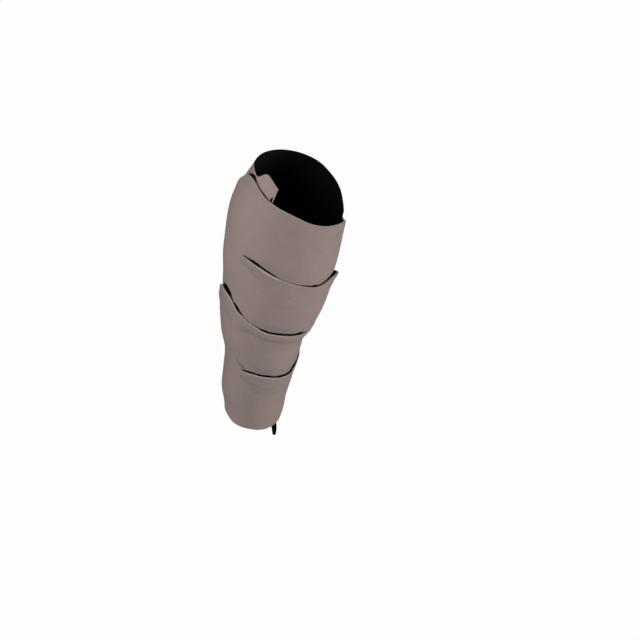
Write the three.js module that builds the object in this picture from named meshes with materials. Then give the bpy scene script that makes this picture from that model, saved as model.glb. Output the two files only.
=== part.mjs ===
// Calf compression wrap in the form it has when worn. A back panel lies next to the leg, and two
// wraps sewn to it at the back left cross the shin to hook pads at the back right. Each wrap is slit
// into two bands, and every band laps over the lower edge of the band above it.
// Millimetres. +Z runs up the leg from the centre of the ankle opening, -Y faces out of the shin.
import * as THREE from "three";

const { smoothstep, lerp, degToRad } = THREE.MathUtils;

// Layers
const bandThickness = 2.2;
const panelThickness = 2.6;
const padThickness = 1.2;
const layerGap = 0.4; // clearance between pieces that lie on each other

// Heights over which the cloth bends
const lipRun = 14; // a lip settling from the band above onto the layer below
const lapMargin = 1; // flat stretch of a lip past the edge that it covers
const liftRun = 13; // a free edge standing off
const tuckRun = 12; // an edge dipping under the next lip

// Right edge of the panel: it leans towards the shin at the calf and again at the ankle, where its loose
// lower corner also bends outwards
const edgeReach = { from: -205, to: -238 }; // angles over which the panel follows its edge
const calfLean = { angle: 9, from: 215, to: 255 };
const ankleLean = { angle: 7, from: 30, to: -10 };
const cornerFlare = { out: 5.5, from: 0, to: -20 };
const cornerReach = { from: -224, to: -250 }; // angles over which the corner bends out

// Angles round the leg in degrees, 0 at the shin and positive towards +X
const seamAngle = -150; // both wraps are sewn to the panel here
const panelRight = -246; // the panel's edge on the right side, reached round the back
const panelShin = -22.5; // its other edge, beside the shin
const eyeAngle = 8; // stretch of a slit from its blind end to where its lips pass
const eyeGap = 0.7; // opening of the slit there
const padRise = { from: 108, to: 138 }; // the bands climb onto the hook pads
const endCorner = { angle: 13, height: 13 }; // rounding of the band ends

// Mesh steps
const bandStep = 7.6;
const cornerSteps = 4;
const panelSteps = [
  { from: panelRight, to: -226, columns: 8 },
  { from: -226, to: -80, columns: 17 },
  { from: -80, to: panelShin, columns: 13 },
];
const panelRows = 24;
const padSteps = 4;

// Hollow for the leg: half sizes of its oval section by height
const legSections = [
  { z: -20, centreX: 0, side: 24.5, front: 28, back: 31 },
  { z: 0, centreX: 0, side: 25, front: 28.5, back: 32 },
  { z: 18, centreX: -0.8, side: 27.4, front: 29.5, back: 34 },
  { z: 36, centreX: -3.3, side: 30.6, front: 31, back: 36 },
  { z: 60, centreX: -2.4, side: 33.3, front: 33, back: 40 },
  { z: 85, centreX: -3, side: 35, front: 35.5, back: 44 },
  { z: 108, centreX: -5.6, side: 41, front: 38, back: 48 },
  { z: 130, centreX: -4.5, side: 46.5, front: 41, back: 53 },
  { z: 170, centreX: -1.2, side: 52.2, front: 46, back: 60 },
  { z: 215, centreX: -2.7, side: 56.4, front: 49, back: 61 },
  { z: 255, centreX: -2.3, side: 56.7, front: 50.5, back: 57 },
  { z: 290, centreX: 3.5, side: 54.5, front: 51, back: 53 },
  { z: 320, centreX: 10, side: 53, front: 51, back: 51 },
];

// Free top edge of the upper wrap, and how far it stands off
const topEdge = [
  { angle: -150, z: 270, lift: 0 },
  { angle: -115, z: 273, lift: 0.2 },
  { angle: -100, z: 277.4, lift: 0.5 },
  { angle: -92, z: 281.6, lift: 0.8 },
  { angle: -86, z: 286.4, lift: 1.2 },
  { angle: -80, z: 291.6, lift: 1.6 },
  { angle: -75, z: 296.6, lift: 1.9 },
  { angle: -70, z: 299.4, lift: 2 },
  { angle: -64, z: 300.9, lift: 1.9 },
  { angle: -56, z: 300.4, lift: 1.5 },
  { angle: -42, z: 294.5, lift: 0.6 },
  { angle: -31, z: 289.6, lift: 0.4 },
  { angle: -21, z: 286.4, lift: 0.3 },
  { angle: 10, z: 277.7, lift: 0 },
  { angle: 25, z: 272.4, lift: 0 },
  { angle: 37, z: 269.6, lift: 0 },
  { angle: 50, z: 267.5, lift: 0 },
  { angle: 60, z: 266.9, lift: 0 },
  { angle: 66, z: 266.4, lift: 0 },
  { angle: 72, z: 265.6, lift: 0 },
  { angle: 78, z: 264.6, lift: 0 },
  { angle: 84, z: 263, lift: 0 },
  { angle: 90, z: 260.2, lift: 0 },
  { angle: 96, z: 257.2, lift: 0 },
  { angle: 102, z: 254.8, lift: 0 },
  { angle: 110, z: 253.6, lift: 0 },
  { angle: 120, z: 255, lift: 0 },
  { angle: 134, z: 260.5, lift: 0 },
  { angle: 168, z: 262, lift: 0 },
];

// Lines where a lip lies over the band above it. lap is how far that band runs on below the line, tuck
// how deep the lip presses it in and lift how far the lip stands off it.
const upperSlit = [
  { angle: -43, z: 218.8, lap: 8, tuck: 0, lift: 1.2 },
  { angle: -24, z: 216, lap: 8, tuck: 0, lift: 2.2 },
  { angle: -11, z: 211, lap: 9, tuck: 0.8, lift: 2 },
  { angle: 1, z: 206, lap: 10, tuck: 1.6, lift: 1.6 },
  { angle: 23, z: 199.4, lap: 10, tuck: 1.8, lift: 0.5 },
  { angle: 40, z: 195.8, lap: 10, tuck: 1.8, lift: 1.6 },
  { angle: 52, z: 194.6, lap: 10, tuck: 1.7, lift: 2 },
  { angle: 62, z: 196, lap: 10, tuck: 1.5, lift: 2 },
  { angle: 75, z: 200.5, lap: 10, tuck: 1, lift: 2.6 },
  { angle: 86, z: 202, lap: 10, tuck: 0.7, lift: 3 },
  { angle: 98, z: 198, lap: 10, tuck: 0.4, lift: 1.6 },
  { angle: 114, z: 191, lap: 10, tuck: 0, lift: 0.3 },
  { angle: 168, z: 187, lap: 10, tuck: 0, lift: 0 },
];
const middleLine = [
  { angle: -150, z: 142, lap: 8, tuck: 0, lift: 0 },
  { angle: -115, z: 145, lap: 8, tuck: 0, lift: 0.3 },
  { angle: -98, z: 152, lap: 8, tuck: 0, lift: 1 },
  { angle: -85, z: 160, lap: 8.5, tuck: 0, lift: 1.8 },
  { angle: -72, z: 166, lap: 9, tuck: 0, lift: 2.2 },
  { angle: -60, z: 164, lap: 9, tuck: 0, lift: 1.4 },
  { angle: -51, z: 159.4, lap: 9, tuck: 0, lift: 0.3 },
  { angle: -36, z: 149.6, lap: 9, tuck: 0, lift: 1.2 },
  { angle: -28, z: 145.3, lap: 9.5, tuck: 0, lift: 0.3 },
  { angle: -20, z: 141.6, lap: 9.5, tuck: 0.2, lift: 0.1 },
  { angle: -10, z: 138.4, lap: 9.5, tuck: 0.8, lift: 0.3 },
  { angle: -3, z: 135.5, lap: 9.5, tuck: 1.4, lift: 1.5 },
  { angle: 8, z: 133, lap: 9.5, tuck: 1.6, lift: 2.2 },
  { angle: 22, z: 131.6, lap: 9.5, tuck: 1.8, lift: 2 },
  { angle: 50, z: 130.1, lap: 9, tuck: 2, lift: 1.8 },
  { angle: 64, z: 130.3, lap: 9, tuck: 2.3, lift: 0.8 },
  { angle: 78, z: 132, lap: 9, tuck: 2.3, lift: 0.1 },
  { angle: 95, z: 134, lap: 9, tuck: 1.4, lift: 0 },
  { angle: 113, z: 135, lap: 9, tuck: 0, lift: 0 },
  { angle: 168, z: 135, lap: 9, tuck: 0, lift: 0 },
];
const lowerSlit = [
  { angle: -28, z: 75, lap: 9, tuck: 0, lift: 0.8 },
  { angle: -22, z: 76.1, lap: 9, tuck: 0.2, lift: 1.2 },
  { angle: -9, z: 76.5, lap: 11, tuck: 0.8, lift: 1.6 },
  { angle: 8, z: 75.5, lap: 13, tuck: 1.5, lift: 1.8 },
  { angle: 24, z: 74.7, lap: 14, tuck: 1.8, lift: 1.8 },
  { angle: 43, z: 73.4, lap: 13, tuck: 1.8, lift: 1.8 },
  { angle: 54, z: 73.4, lap: 12, tuck: 1.8, lift: 1.8 },
  { angle: 70, z: 74.5, lap: 11, tuck: 2, lift: 1.4 },
  { angle: 80, z: 79.5, lap: 10, tuck: 2.2, lift: 0.8 },
  { angle: 90, z: 87, lap: 10, tuck: 2, lift: 0.3 },
  { angle: 100, z: 90, lap: 10, tuck: 1.2, lift: 0 },
  { angle: 113, z: 90, lap: 10, tuck: 0, lift: 0 },
  { angle: 168, z: 86, lap: 10, tuck: 0, lift: 0 },
];

// Bottom edge of the lower wrap
const ankleHem = [
  { angle: -150, z: 7 },
  { angle: -90, z: 8 },
  { angle: -60, z: 8 },
  { angle: -35, z: 4 },
  { angle: 0, z: 3.2 },
  { angle: 38, z: 3.1 },
  { angle: 44, z: 3.6 },
  { angle: 50, z: 4.4 },
  { angle: 57, z: 5.3 },
  { angle: 64, z: 6.1 },
  { angle: 70, z: 6.7 },
  { angle: 78, z: 6.9 },
  { angle: 100, z: 6 },
  { angle: 168, z: 6 },
];

// Outline of the back panel, with the pointed tab at its shin end
const panelTop = [
  { angle: -246, z: 263 },
  { angle: -236, z: 271 },
  { angle: -225, z: 281 },
  { angle: -205, z: 294 },
  { angle: -180, z: 302 },
  { angle: -150, z: 306 },
  { angle: -124, z: 306.5 },
  { angle: -100, z: 304.8 },
  { angle: -76, z: 307 },
  { angle: -65, z: 305.6 },
  { angle: -58, z: 304.2 },
  { angle: -53, z: 305.8 },
  { angle: -47, z: 311.2 },
  { angle: -42, z: 313 },
  { angle: -38, z: 311.7 },
  { angle: -22.5, z: 303.2 },
];
const panelBottom = [
  { angle: -246, z: -23.6 },
  { angle: -243, z: -25 },
  { angle: -240, z: -25.8 },
  { angle: -237.5, z: -24.6 },
  { angle: -235, z: -21.5 },
  { angle: -232, z: -15.5 },
  { angle: -229, z: -9 },
  { angle: -216, z: 3 },
  { angle: -180, z: 9 },
  { angle: -90, z: 11 },
  { angle: -22.5, z: 8 },
];

// Hook pads under the band ends, from the highest band down
const hookPads = [
  { from: 140, to: 158, low: 204, high: 258 },
  { from: 140, to: 153, low: 146, high: 172 },
  { from: 140, to: 158, low: 98, high: 122 },
  { from: 140, to: 153, low: 16, high: 72 },
];

const bandCloth = { color: 0x8c7d77, roughness: 0.95, metalness: 0 };
const panelCloth = { color: 0x8f807a, roughness: 0.95, metalness: 0 };
const hookTape = { color: 0x17151a, roughness: 0.8, metalness: 0 };

// The columns of a table as smooth functions of its key column
function curves(rows, key) {
  const names = Object.keys(rows[0]).filter((name) => name !== key);
  const keys = rows.map((row) => row[key]);
  const values = rows.flatMap((row) => names.map((name) => row[name]));
  const spline = new THREE.CubicInterpolant(keys, values, names.length);
  return (at) => {
    const found = spline.evaluate(at);
    return Object.fromEntries(names.map((name, i) => [name, found[i]]));
  };
}

const legAt = curves(legSections, "z");
const panelTopAt = curves(panelTop, "angle");
const panelBottomAt = curves(panelBottom, "angle");

const free = { line: curves(topEdge, "angle") };
const upper = { line: curves(upperSlit, "angle"), blindEnd: upperSlit[0].angle };
const middle = { line: curves(middleLine, "angle"), blindEnd: -Infinity };
const lower = { line: curves(lowerSlit, "angle"), blindEnd: lowerSlit[0].angle };
const hem = { line: curves(ankleHem, "angle") };

// Bands from the top, with the lines at their upper and lower edges and the rows of mesh between them
const bands = [
  { above: free, below: upper, end: 166, rows: [4, 4, 2] },
  { above: upper, below: middle, end: 161, rows: [4, 3, 4] },
  { above: middle, below: lower, end: 166, rows: [4, 3, 4] },
  { above: lower, below: hem, end: 161, rows: [1, 3, 4] },
];

// 0 to 1 between two heights or angles, in either order
function ramp(at, { from, to }) {
  return from < to ? smoothstep(at, from, to) : 1 - smoothstep(at, to, from);
}

// A point of the leg's surface moved straight out by an offset
function legPoint(angle, z, offset) {
  const { centreX, side, front, back } = legAt(z);
  const sin = Math.sin(degToRad(angle));
  const cos = Math.cos(degToRad(angle));
  const radius = 1 / Math.hypot(sin / side, cos / (cos > 0 ? front : back)) + offset;
  return new THREE.Vector3(centreX + radius * sin, -radius * cos, z);
}

// One overlap line at an angle. A slit's lips part over its eye and only then pass each other.
function overlapAt(overlap, angle) {
  const { z, lap, tuck, lift } = overlap.line(angle);
  const parted = smoothstep(angle, overlap.blindEnd, overlap.blindEnd + eyeAngle);
  const passed = smoothstep(angle, overlap.blindEnd + eyeAngle, overlap.blindEnd + 3 * eyeAngle);
  return {
    z,
    lap: lap * passed,
    under: z + eyeGap * (parted - passed) - lap * passed,
    tuck: tuck * passed,
    rise: (bandThickness + layerGap) * parted - tuck * passed,
    lift: lift * parted,
  };
}

// Upper edge of a band: its height, its lip and the height where the lip has settled
function upperEdge(band, angle) {
  if (band.above === free) {
    const { z, lift } = free.line(angle);
    return { z, lap: 0, rise: 0, lift, settled: z - liftRun };
  }
  const edge = overlapAt(band.above, angle);
  return { ...edge, settled: edge.z - edge.lap - lipRun };
}

// Lower edge of a band: its line, where the cloth ends and how deep it is tucked
function lowerEdge(band, angle) {
  if (band.below === hem) {
    const { z } = hem.line(angle);
    return { z, under: z, tuck: 0, settled: z + tuckRun };
  }
  const edge = overlapAt(band.below, angle);
  return { ...edge, settled: edge.z + tuckRun };
}

// How far a band's inner face lies from the leg
function bandOffset(band, angle, z) {
  const top = upperEdge(band, angle);
  const bottom = lowerEdge(band, angle);
  const depth = top.z - z;
  const onPads = ramp(angle, padRise) * (padThickness + layerGap);
  const lip = top.rise * (1 - smoothstep(depth, top.lap + lapMargin, top.lap + lipRun));
  const lift = top.lift * (1 - smoothstep(depth, 0, liftRun));
  const tuck = bottom.tuck * (1 - smoothstep(z - bottom.z, 0, tuckRun));
  return panelThickness + layerGap + onPads + lip + lift - tuck;
}

// Numbers from one value to another, both included
function steps(from, to, count) {
  return Array.from({ length: count + 1 }, (_, i) => lerp(from, to, i / count));
}

// Heights of a band's mesh rows at an angle, drawn in at its rounded end
function bandRows(band, angle) {
  const top = upperEdge(band, angle);
  const bottom = lowerEdge(band, angle);
  const anchors = [bottom.under, bottom.settled, top.settled, top.z];
  const heights = band.rows.flatMap((count, i) => steps(anchors[i], anchors[i + 1], count).slice(0, -1));
  heights.push(top.z);
  const along = Math.max(0, 1 - (band.end - angle) / endCorner.angle);
  const inset = endCorner.height * (1 - Math.sqrt(1 - along * along));
  const centre = (top.z + bottom.under) / 2;
  const shrink = 1 - inset / (top.z - centre);
  return heights.map((z) => centre + (z - centre) * shrink);
}

// Angles of the mesh columns from a slit's blind end to a band's rounded end
function freeColumns(blindEnd, end) {
  const straight = end - endCorner.angle;
  const round = steps(0, 90, cornerSteps).slice(1);
  return [
    ...steps(blindEnd, straight, Math.round((straight - blindEnd) / bandStep)).slice(1),
    ...round.map((turn) => straight + endCorner.angle * Math.sin(degToRad(turn))),
  ];
}

// Closed solid of a sheet given as grids of corners, each an outer point and an inner point. Grids are
// joined where they share corners, and every open edge gets a wall.
function sheetGeometry(corners, grids) {
  const inner = corners.length;
  const triangles = [];
  const quad = (a, b, c, d) => triangles.push(a, b, c, a, c, d);
  const openEdges = new Map();
  const cross = (a, b) => {
    if (!openEdges.delete(b + " " + a)) openEdges.set(a + " " + b, [a, b]);
  };
  for (const grid of grids) {
    for (let i = 0; i + 1 < grid.length; i++) {
      for (let j = 0; j + 1 < grid[i].length; j++) {
        const ring = [grid[i][j], grid[i + 1][j], grid[i + 1][j + 1], grid[i][j + 1]];
        quad(...ring);
        quad(...ring.map((corner) => corner + inner).reverse());
        ring.forEach((corner, k) => cross(corner, ring[(k + 1) % 4]));
      }
    }
  }
  for (const [a, b] of openEdges.values()) quad(b, a, a + inner, b + inner);
  const points = [...corners.map(({ outside }) => outside), ...corners.map(({ inside }) => inside)];
  const geometry = new THREE.BufferGeometry().setFromPoints(points);
  geometry.setIndex(triangles);
  geometry.computeVertexNormals();
  return geometry;
}

// Adds a column of sheet corners and returns their numbers
function addColumn(corners, places, thickness) {
  return places.map(({ angle, z, offset }) => {
    const outside = legPoint(angle, z, offset + thickness);
    return corners.push({ outside, inside: legPoint(angle, z, offset) }) - 1;
  });
}

// Two bands that are one cloth from the seam to the blind end of the slit between them
function wrapGeometry(top, bottom) {
  const { blindEnd } = top.below;
  const corners = [];
  const column = (band, angle, heights = bandRows(band, angle)) => {
    const places = heights.map((z) => ({ angle, z, offset: bandOffset(band, angle, z) }));
    return addColumn(corners, places, bandThickness);
  };
  const joined = steps(seamAngle, blindEnd, Math.round((blindEnd - seamAngle) / bandStep));
  const topGrid = joined.map((angle) => column(top, angle));
  const bottomGrid = joined.map((angle, i) => {
    const ownRows = bandRows(bottom, angle).slice(0, -1);
    return [...column(bottom, angle, ownRows), topGrid[i][0]];
  });
  topGrid.push(...freeColumns(blindEnd, top.end).map((angle) => column(top, angle)));
  bottomGrid.push(...freeColumns(blindEnd, bottom.end).map((angle) => column(bottom, angle)));
  return sheetGeometry(corners, [topGrid, bottomGrid]);
}

// The panel lies on the leg, apart from its loose corner
function panelPlace(angle, z) {
  const nearEdge = ramp(angle, edgeReach);
  const lean = calfLean.angle * ramp(z, calfLean) + ankleLean.angle * ramp(z, ankleLean);
  const flare = cornerFlare.out * ramp(angle, cornerReach) * ramp(z, cornerFlare);
  return { angle: angle - nearEdge * lean, z, offset: flare };
}

function panelGeometry() {
  const corners = [];
  const angles = panelSteps.flatMap(({ from, to, columns }) => steps(from, to, columns).slice(0, -1));
  angles.push(panelShin);
  const grid = angles.map((angle) => {
    const heights = steps(panelBottomAt(angle).z, panelTopAt(angle).z, panelRows);
    return addColumn(corners, heights.map((z) => panelPlace(angle, z)), panelThickness);
  });
  return sheetGeometry(corners, [grid]);
}

function padGeometry({ from, to, low, high }) {
  const corners = [];
  const offset = panelThickness + layerGap;
  const grid = steps(from, to, padSteps).map((angle) => {
    const places = steps(low, high, padSteps).map((z) => ({ angle, z, offset }));
    return addColumn(corners, places, padThickness);
  });
  return sheetGeometry(corners, [grid]);
}

function piece(name, geometry, cloth) {
  const mesh = new THREE.Mesh(geometry, new THREE.MeshStandardMaterial(cloth));
  mesh.name = name;
  return mesh;
}

const wrap = new THREE.Group();
wrap.add(piece("back_panel", panelGeometry(), panelCloth));
wrap.add(piece("upper_wrap", wrapGeometry(bands[0], bands[1]), bandCloth));
wrap.add(piece("lower_wrap", wrapGeometry(bands[2], bands[3]), bandCloth));
hookPads.forEach((pad, i) => wrap.add(piece("hook_pad_" + (i + 1), padGeometry(pad), hookTape)));

export default wrap;
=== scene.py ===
# Calf compression wrap: soft laminate bands in the form that they have when worn.
# Tables and sizes are in millimetres and degrees; meshes are made in metres.
import math
import bpy
import numpy as np
from mathutils import Matrix, Vector


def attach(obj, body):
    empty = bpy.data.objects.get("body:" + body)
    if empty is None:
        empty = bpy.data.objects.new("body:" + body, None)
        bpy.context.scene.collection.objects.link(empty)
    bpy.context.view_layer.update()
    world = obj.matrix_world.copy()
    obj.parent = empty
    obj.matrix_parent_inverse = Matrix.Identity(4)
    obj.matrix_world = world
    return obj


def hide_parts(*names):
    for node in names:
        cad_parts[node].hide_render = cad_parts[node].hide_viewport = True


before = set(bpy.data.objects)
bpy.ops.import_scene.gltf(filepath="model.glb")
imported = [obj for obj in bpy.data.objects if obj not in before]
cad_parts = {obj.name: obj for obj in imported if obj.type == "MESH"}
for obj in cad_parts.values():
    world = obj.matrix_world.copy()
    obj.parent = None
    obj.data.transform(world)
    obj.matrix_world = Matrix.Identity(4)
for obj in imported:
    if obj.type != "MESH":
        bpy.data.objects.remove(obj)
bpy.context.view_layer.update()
mm = 0.001

# The form that the cloth lies on, and its layers

wornForm = {
    "columns": ("z", "centreX", "side", "front", "back"),
    "rows": [
        (-20, 0, 24.5, 28, 31), (0, 0, 25, 28.5, 32), (18, -0.8, 27.4, 29.5, 34),
        (36, -3.3, 30.6, 31, 36), (60, -2.4, 33.3, 33, 40), (85, -3, 35, 35.5, 44),
        (108, -5.6, 41, 38, 48), (130, -4.5, 46.5, 41, 53), (170, -1.2, 52.2, 46, 60),
        (215, -2.7, 56.4, 49, 61), (255, -2.3, 56.7, 50.5, 57), (290, 3.5, 54.5, 51, 53),
        (320, 10, 53, 51, 51),
    ],
}
layers = {"band": 2.2, "panel": 2.6, "pad": 1.2, "gap": 0.4}
bends = {"lipRun": 14, "lapMargin": 1, "liftRun": 13, "tuckRun": 12}  # heights over which the cloth bends

# Cloth is never quite even: slow swells shared by every layer, so that they stay clear of each other
swells = [
    {"out": 0.22, "turns": 2, "perMm": 0.031, "phase": 0.4},
    {"out": 0.16, "turns": 5, "perMm": -0.043, "phase": 2.1},
    {"out": 0.10, "turns": 9, "perMm": 0.071, "phase": 4.0},
]
# Fuller and flatter places of the worn form, out from it and as far as they reach
bulges = [
    {"angle": 85, "z": 245, "wide": 42, "high": 36, "out": 1.4},
    {"angle": 85, "z": 158, "wide": 36, "high": 32, "out": 0.9},
    {"angle": 80, "z": 113, "wide": 26, "high": 8, "out": -1.9},
    {"angle": 80, "z": 85, "wide": 30, "high": 11, "out": 1.0},
    {"angle": 80, "z": 22, "wide": 36, "high": 22, "out": 1.8},
    {"angle": -85, "z": 272, "wide": 32, "high": 24, "out": 1.0},
    {"angle": -85, "z": 196, "wide": 32, "high": 14, "out": 0.9},
    {"angle": -85, "z": 154, "wide": 26, "high": 10, "out": -1.3},
    {"angle": -85, "z": 118, "wide": 32, "high": 18, "out": -1.3},
    {"angle": -88, "z": 305, "wide": 30, "high": 14, "out": -2.9},
]


def curvesOf(table):
    # the columns as smooth functions of the first one, with the mean slope of the two neighbours at each row
    rows = np.array(table["rows"], float)
    key, values = rows[:, 0], rows[:, 1:]
    secant = np.diff(values, axis=0) / np.diff(key)[:, None]
    slope = np.vstack([secant[:1], (secant[1:] + secant[:-1]) / 2, secant[-1:]])

    def at(where):
        where = np.clip(np.asarray(where, float), key[0], key[-1])
        i = np.clip(np.searchsorted(key, where, side="right") - 1, 0, len(key) - 2)
        width = (key[i + 1] - key[i])[..., None]
        t = (where - key[i])[..., None] / width
        value = values[i] * (1 + 2 * t) * (1 - t) ** 2 + values[i + 1] * t * t * (3 - 2 * t)
        value = value + width * (slope[i] * t * (1 - t) ** 2 - slope[i + 1] * t * t * (1 - t))
        return dict(zip(table["columns"][1:], np.moveaxis(value, -1, 0)))

    return at


def ramp(at, start, end):
    t = np.clip((np.asarray(at, float) - start) / (end - start), 0, 1)
    return t * t * (3 - 2 * t)


formAt = curvesOf(wornForm)


def formPoint(angle, z, offset):
    # a point of the worn form moved straight out; 0 degrees is the front, positive towards +X
    form = formAt(z)
    turn = np.radians(angle)
    sin, cos = np.sin(turn), np.cos(turn)
    radius = 1 / np.hypot(sin / form["side"], cos / np.where(cos > 0, form["front"], form["back"])) + offset
    for swell in swells:
        radius = radius + swell["out"] * np.sin(swell["turns"] * turn + swell["perMm"] * z + swell["phase"])
    for bulge in bulges:
        across = ((angle - bulge["angle"] + 180) % 360 - 180) / bulge["wide"]
        up = (z - bulge["z"]) / bulge["high"]
        radius = radius + bulge["out"] * np.exp(-across ** 2 - up ** 2)
    height = np.broadcast_to(z, radius.shape)
    return np.stack([form["centreX"] + radius * sin, -radius * cos, height], -1) * mm


# Sheets of cloth: a face, a lining and a rounded cut edge between them

cloth = {"edge": 0.5, "edgeSteps": 6, "edgeSquare": 0.8, "cell": 1.5, "unrolled": 50.0}


def sheetObject(name, corners, grids, materials, dark=None):
    # dark tells how black each outer point is painted, from 0 to 1: a painted shade in the gaps and creases,
    # and black in the panel's snip;
    # below 0 it tells how pale a lip's edge is painted, a painted highlight
    outside, inside, places, bulge = (np.concatenate([c[k] for c in corners]) for k in range(4))
    count = len(outside)
    quads = np.concatenate([
        np.stack([g[:-1, :-1], g[1:, :-1], g[1:, 1:], g[:-1, 1:]], -1).reshape(-1, 4) for g in grids
    ])
    # open edges, each with the cloth on its left
    edges = np.concatenate([quads[:, [k, (k + 1) % 4]] for k in range(4)])
    openEdges = edges[~np.isin(edges[:, 0] * count + edges[:, 1], edges[:, 1] * count + edges[:, 0])]
    along = np.zeros((count, 3))
    step = outside[openEdges[:, 1]] - outside[openEdges[:, 0]]
    step /= np.maximum(np.linalg.norm(step, axis=1, keepdims=True), 1e-9)
    np.add.at(along, openEdges[:, 0], step)
    np.add.at(along, openEdges[:, 1], step)
    thick = (outside - inside) / 2
    away = np.cross(along, thick)
    size = np.linalg.norm(away, axis=1, keepdims=True)
    away = np.where(size > 1e-7, away / np.maximum(size, 1e-9), 0)
    # the cut edge bulges out from the faces to the outline
    rim = np.unique(openEdges)
    rimAt = np.full(count, -1)
    rimAt[rim] = np.arange(len(rim))
    edgeSteps = cloth["edgeSteps"]
    turns = np.pi * np.arange(1, edgeSteps) / edgeSteps
    squared = [np.sign(v) * np.abs(v) ** cloth["edgeSquare"] for v in (np.cos(turns), np.sin(turns))]
    profile = ((outside + inside) / 2)[rim, None] + thick[rim, None] * squared[0][:, None]
    profile = profile + away[rim, None] * (bulge[rim] * mm)[:, None, None] * squared[1][:, None]
    ring = np.concatenate([
        np.arange(count)[rim, None],
        2 * count + rimAt[rim, None] * (edgeSteps - 1) + np.arange(edgeSteps - 1),
        count + np.arange(count)[rim, None],
    ], 1)
    a, b = ring[rimAt[openEdges[:, 0]]], ring[rimAt[openEdges[:, 1]]]
    strips = np.stack([b[:, :-1], a[:, :-1], a[:, 1:], b[:, 1:]], -1)
    faces = np.concatenate([quads, quads[:, ::-1] + count, strips.reshape(-1, 4)])
    # face, lining and cut edge are looks 0, 1 and 2, and the strips next to the two faces look like them
    stripLook = np.full(edgeSteps, 2)
    stripLook[0], stripLook[-1] = 0, 1
    faceLook = np.repeat([0, 1], len(quads))
    looks = np.concatenate([faceLook, np.tile(stripLook, len(openEdges))])
    points = np.concatenate([outside, inside, profile.reshape(-1, 3)])
    spots = np.concatenate([places, places, np.repeat(places[rim], edgeSteps - 1, 0)])
    mesh = bpy.data.meshes.new(name)
    mesh.from_pydata(points.tolist(), [], faces.tolist())
    for material in materials:
        mesh.materials.append(material)
    mesh.polygons.foreach_set("material_index", looks)
    mesh.polygons.foreach_set("use_smooth", np.ones(len(faces), bool))
    # the gap attribute carries the painted shade, and below 0 the painted highlight, into the face's colour
    if dark is not None:
        shade = np.zeros(len(points))
        shade[:count] = dark
        mesh.attributes.new("gap", "FLOAT", "POINT").data.foreach_set("value", shade)
    unrolled = mesh.uv_layers.new(name="cloth")  # metres along and up the cloth
    unrolled.data.foreach_set("uv", spots[faces.reshape(-1)].reshape(-1))
    mesh.update()
    made = bpy.data.objects.new(name, mesh)
    bpy.context.collection.objects.link(made)
    return made


def cornerRow(angle, z, offset, thickness, bulge, dent=0.0):
    # outer points, inner points, places on the flat cloth and edge rounding of a grid of corners
    outside = formPoint(angle, z, offset + thickness + dent)
    inside = formPoint(angle, z, offset)
    places = np.stack([np.radians(angle) * cloth["unrolled"] * mm, z * mm], -1)
    return outside.reshape(-1, 3), inside.reshape(-1, 3), places.reshape(-1, 2), np.ravel(bulge)


def steps(start, end, count):
    return start + (end - start) * np.arange(count + 1) / count


# Materials


def linear(hexColour):
    parts = [int(hexColour[i:i + 2], 16) / 255 for i in (1, 3, 5)]
    return [p / 12.92 if p <= 0.04045 else ((p + 0.055) / 1.055) ** 2.4 for p in parts] + [1.0]


def addNode(tree, kind, inputs, **settings):
    node = tree.nodes.new(kind)
    for key, value in settings.items():
        setattr(node, key, value)
    for key, value in inputs.items():
        if isinstance(value, bpy.types.NodeSocket):
            tree.links.new(value, node.inputs[key])
        else:
            node.inputs[key].default_value = value
    return node


def newMaterial(name):
    material = bpy.data.materials.new(name)
    material.use_nodes = True
    material.node_tree.nodes.clear()
    return material, material.node_tree


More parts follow.
